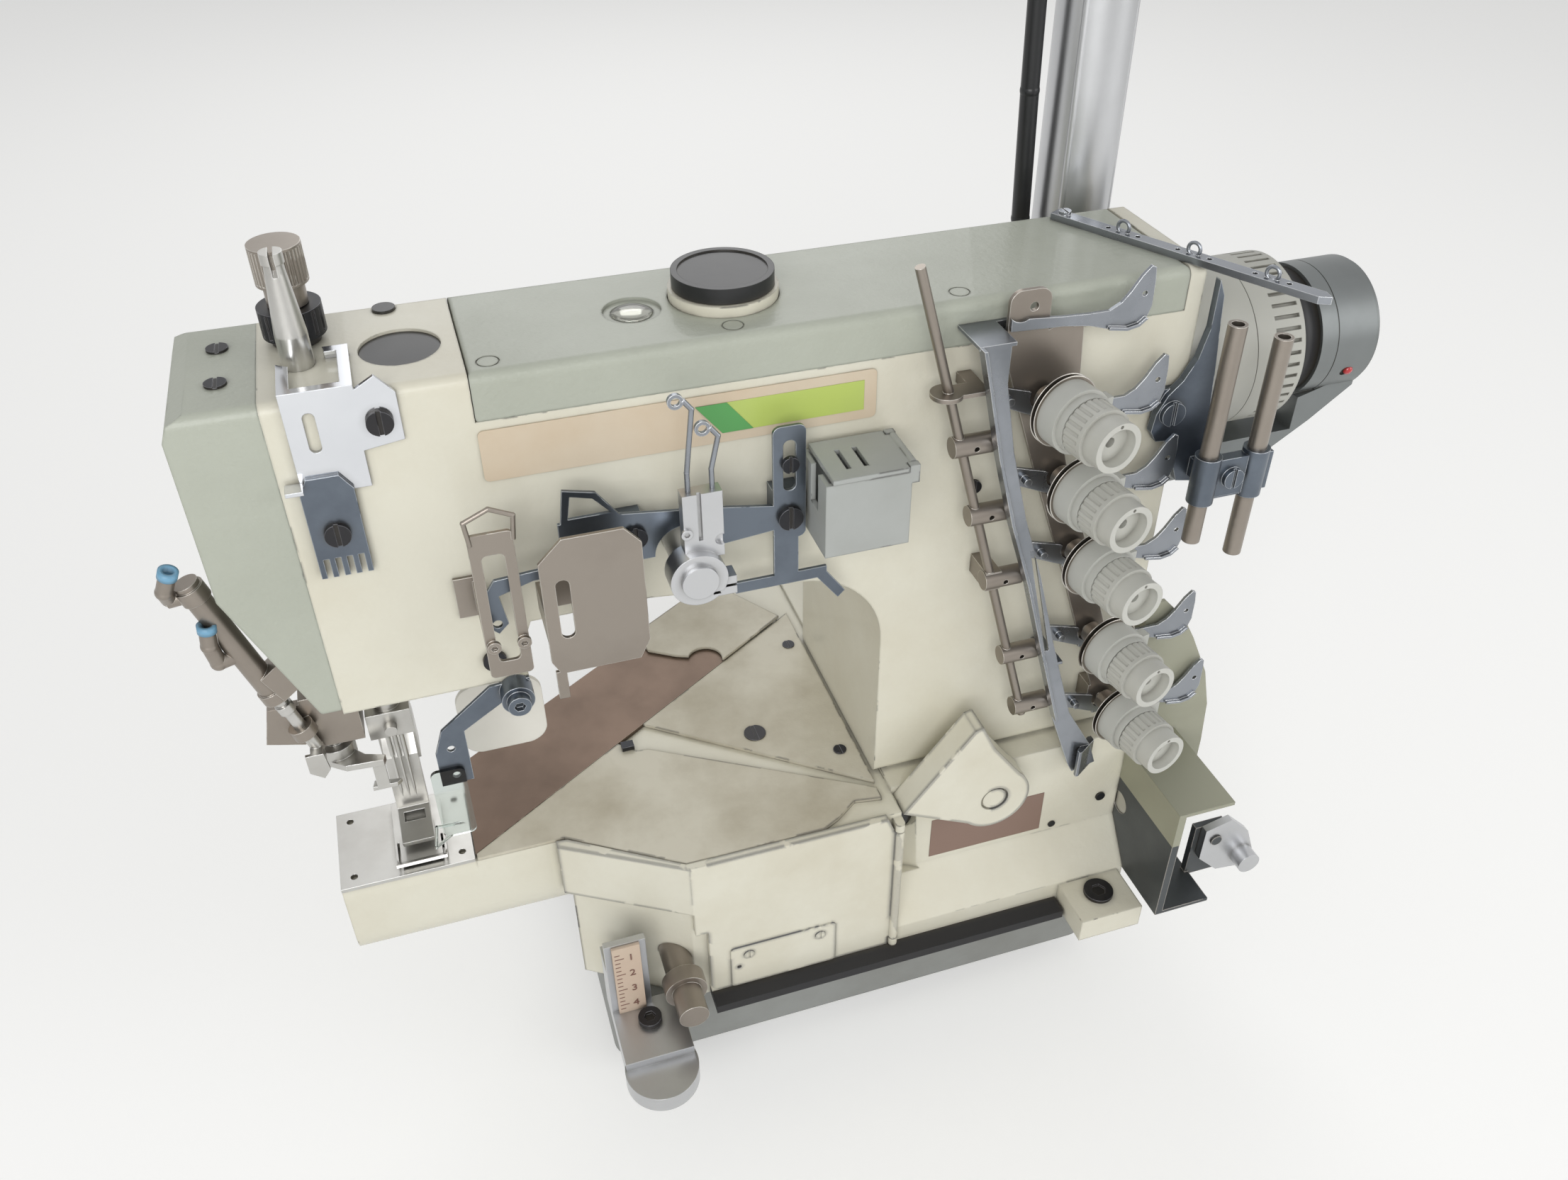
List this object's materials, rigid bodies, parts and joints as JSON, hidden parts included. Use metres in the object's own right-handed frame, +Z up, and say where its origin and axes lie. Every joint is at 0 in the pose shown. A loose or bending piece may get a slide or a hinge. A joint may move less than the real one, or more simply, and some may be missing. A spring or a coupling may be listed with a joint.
{
  "type": "cylinder-bed coverstitch sewing machine head for knitted fabric, with five thread tensions",
  "caption": "Cream cast coverstitch sewing machine head with grey top cover, black oil cap, row of grey tension knobs, angled thread guides, silver air cylinder and small bed arm",
  "frame": {"origin": "middle of the bottom of the machine's box, on the surface that the four rubber feet stand on", "axes": "+X along the arm towards the handwheel, +Y away from the operator, +Z up"},
  "size_m": [0.5068, 0.302, 0.492],
  "materials": {
    "cream_paint": "semi-gloss, slightly textured",
    "grey_green_paint": "satin hammered",
    "nickel_plate": "satin",
    "blued_steel": "semi-gloss",
    "chrome_plate": "polished",
    "machined_steel": "satin",
    "bright_aluminium": "satin",
    "black_oxide": "satin",
    "black_plastic": "satin",
    "grey_plastic": "satin",
    "pale_grey_plastic": "satin",
    "box_grey_paint": "satin",
    "olive_paint": "satin",
    "pan_paint": "satin",
    "rubber_black": "matte",
    "clear_plastic": "clear glossy",
    "sight_glass": "clear",
    "white_paint": "satin",
    "brown_label": "satin",
    "browned_steel": "satin, rubbed",
    "drum_grey_paint": "satin",
    "satin_grey_metal": "satin"
  },
  "bodies": {
    "base": {"machine_frame": "cream_paint", "oil_pan": "pan_paint", "rubber_mounts": "rubber_black", "bed_plates": "cream_paint", "needle_plate": "machined_steel", "bed_fittings": "black_oxide", "hole_plugs": "black_plastic", "marking_plates": "brown_label", "regulator_block": "bright_aluminium", "face_cover": "grey_green_paint", "top_cover": "grey_green_paint", "sight_glass": "sight_glass", "needle_thread_guide": "chrome_plate", "eyelet_plate": "blued_steel", "thread_slot_bracket": "nickel_plate", "take_up_guard": "nickel_plate", "take_up_bracket": "blued_steel", "slotted_screws": "machined_steel", "lubricator_box": "box_grey_paint", "guide_ladder": "machined_steel", "guide_channel": "chrome_plate", "tension_bracket": "nickel_plate", "tension_housings": "grey_plastic", "thread_hooks": "chrome_plate", "top_thread_bar": "chrome_plate", "looper_tubes": "nickel_plate", "tube_bracket": "blued_steel", "belt_cover": "drum_grey_paint", "detector_cup": "satin_grey_metal", "belt_guard": "olive_paint", "cam_guard": "olive_paint", "air_cylinder": "bright_aluminium", "air_fittings": "black_plastic", "wiper_cylinder": "nickel_plate", "rear_shield": "white_paint"},
    "handwheel": {"handwheel": "drum_grey_paint"},
    "looper_cam": {"looper_cam": "machined_steel"},
    "needle_bar": {"needle_bar": "machined_steel"},
    "presser_foot": {"presser_foot": "machined_steel"},
    "take_up": {"take_up_clamp": "bright_aluminium", "take_up_wires": "chrome_plate"},
    "pressure_screw": {"pressure_screw": "nickel_plate"},
    "lock_nut": {"lock_nut": "black_oxide"},
    "oil_cap": {"oil_cap": "black_plastic"},
    "lubricator_lid": {"lubricator_lid": "box_grey_paint"},
    "front_cover": {"front_cover": "cream_paint"},
    "slide_plate": {"slide_plate": "browned_steel"},
    "push_knob": {"push_knob": "black_oxide"},
    "thumb_lever": {"thumb_lever": "bright_aluminium"},
    "wedge_cover": {"wedge_cover": "cream_paint"},
    "spreader": {"spreader": "machined_steel"},
    "wiper_rod": {"wiper_rod": "machined_steel"},
    "eye_guard": {"eye_guard_bracket": "blued_steel", "eye_guard": "clear_plastic"},
    "feed_dog": {"feed_dog": "machined_steel"},
    "knob_1": {"tension_knob_1": "pale_grey_plastic"},
    "knob_2": {"tension_knob_2": "pale_grey_plastic"},
    "knob_3": {"tension_knob_3": "pale_grey_plastic"},
    "knob_4": {"tension_knob_4": "pale_grey_plastic"},
    "knob_5": {"tension_knob_5": "pale_grey_plastic"}
  },
  "joints": [
    {"name": "handwheel_turn", "type": "hinge", "parent": "base", "child": "handwheel", "pos_m": [0.1969, -0.0355, 0.339], "axis": [1, 0, 0], "continuous": true},
    {"name": "looper_cam_turn", "type": "hinge", "parent": "base", "child": "looper_cam", "pos_m": [0.1621, -0.086, 0.108], "axis": [1, 0, 0], "continuous": true},
    {"name": "needle_bar_stroke", "type": "slide", "parent": "base", "child": "needle_bar", "axis": [0, 0, -1], "range_m": [0, 0.031]},
    {"name": "presser_foot_lift", "type": "slide", "parent": "base", "child": "presser_foot", "axis": [0, 0, 1], "range_m": [0, 0.006]},
    {"name": "take_up_rock", "type": "hinge", "parent": "base", "child": "take_up", "pos_m": [-0.0659, -0.08, 0.313], "axis": [0, 1, 0], "range_deg": [-12, 12]},
    {"name": "knob_1_turn", "type": "hinge", "parent": "base", "child": "knob_1", "pos_m": [0.08594, -0.11662, 0.354], "axis": [0.1736, -0.9848, 0], "continuous": true},
    {"name": "knob_2_turn", "type": "hinge", "parent": "base", "child": "knob_2", "pos_m": [0.09785, -0.11662, 0.31529], "axis": [0.1736, -0.9848, 0], "continuous": true},
    {"name": "knob_3_turn", "type": "hinge", "parent": "base", "child": "knob_3", "pos_m": [0.10991, -0.11662, 0.2761], "axis": [0.1736, -0.9848, 0], "continuous": true},
    {"name": "knob_4_turn", "type": "hinge", "parent": "base", "child": "knob_4", "pos_m": [0.12505, -0.11662, 0.22688], "axis": [0.1736, -0.9848, 0], "continuous": true},
    {"name": "knob_5_turn", "type": "hinge", "parent": "base", "child": "knob_5", "pos_m": [0.13887, -0.11662, 0.18196], "axis": [0.1736, -0.9848, 0], "continuous": true},
    {"name": "pressure_screw_turn", "type": "hinge", "parent": "base", "child": "pressure_screw", "pos_m": [-0.1889, -0.023, 0.408], "axis": [0, 0, 1], "continuous": true},
    {"name": "lock_nut_turn", "type": "hinge", "parent": "base", "child": "lock_nut", "pos_m": [-0.1889, -0.023, 0.4], "axis": [0, 0, 1], "continuous": true},
    {"name": "oil_cap_turn", "type": "hinge", "parent": "base", "child": "oil_cap", "pos_m": [-0.0349, -0.034, 0.4], "axis": [0, 0, 1], "range_deg": [0, 90]},
    {"name": "lid_open", "type": "hinge", "parent": "base", "child": "lubricator_lid", "pos_m": [0.0186, -0.088, 0.3453], "axis": [0, 1, 0], "range_deg": [0, 100]},
    {"name": "front_cover_open", "type": "hinge", "parent": "base", "child": "front_cover", "pos_m": [0.0229, -0.1, 0.108], "axis": [0, 0, 1], "range_deg": [0, 100]},
    {"name": "slide_plate_open", "type": "slide", "parent": "base", "child": "slide_plate", "axis": [0.8348, 0.5505, 0], "range_m": [0, 0.03]},
    {"name": "push_knob_press", "type": "slide", "parent": "base", "child": "push_knob", "axis": [0, 1, 0], "range_m": [0, 0.004], "stiffness_N_per_m": 400},
    {"name": "thumb_lever_turn", "type": "hinge", "parent": "base", "child": "thumb_lever", "pos_m": [0.1901, -0.116, 0.1], "axis": [0, 1, 0], "range_deg": [0, 25]},
    {"name": "wedge_cover_turn", "type": "hinge", "parent": "base", "child": "wedge_cover", "pos_m": [0.0731, -0.089, 0.146], "axis": [0, 1, 0], "range_deg": [-40, 15]},
    {"name": "spreader_swing", "type": "hinge", "parent": "base", "child": "spreader", "pos_m": [-0.2119, -0.049, 0.228], "axis": [0, 0, 1], "range_deg": [-25, 0]},
    {"name": "wiper_stroke", "type": "slide", "parent": "base", "child": "wiper_rod", "axis": [0.2857, 0, -0.9583], "range_m": [0, 0.008]},
    {"name": "eye_guard_swing", "type": "hinge", "parent": "base", "child": "eye_guard", "pos_m": [-0.1369, -0.072, 0.254], "axis": [0, 1, 0], "range_deg": [-45, 0]},
    {"name": "feed_dog_travel", "type": "slide", "parent": "base", "child": "feed_dog", "axis": [0, 1, 0], "range_m": [-0.0015, 0.0015]}
  ],
  "couplings": [
    {"joint": "looper_cam_turn", "follows": "handwheel_turn", "ratio": 1}
  ]
}
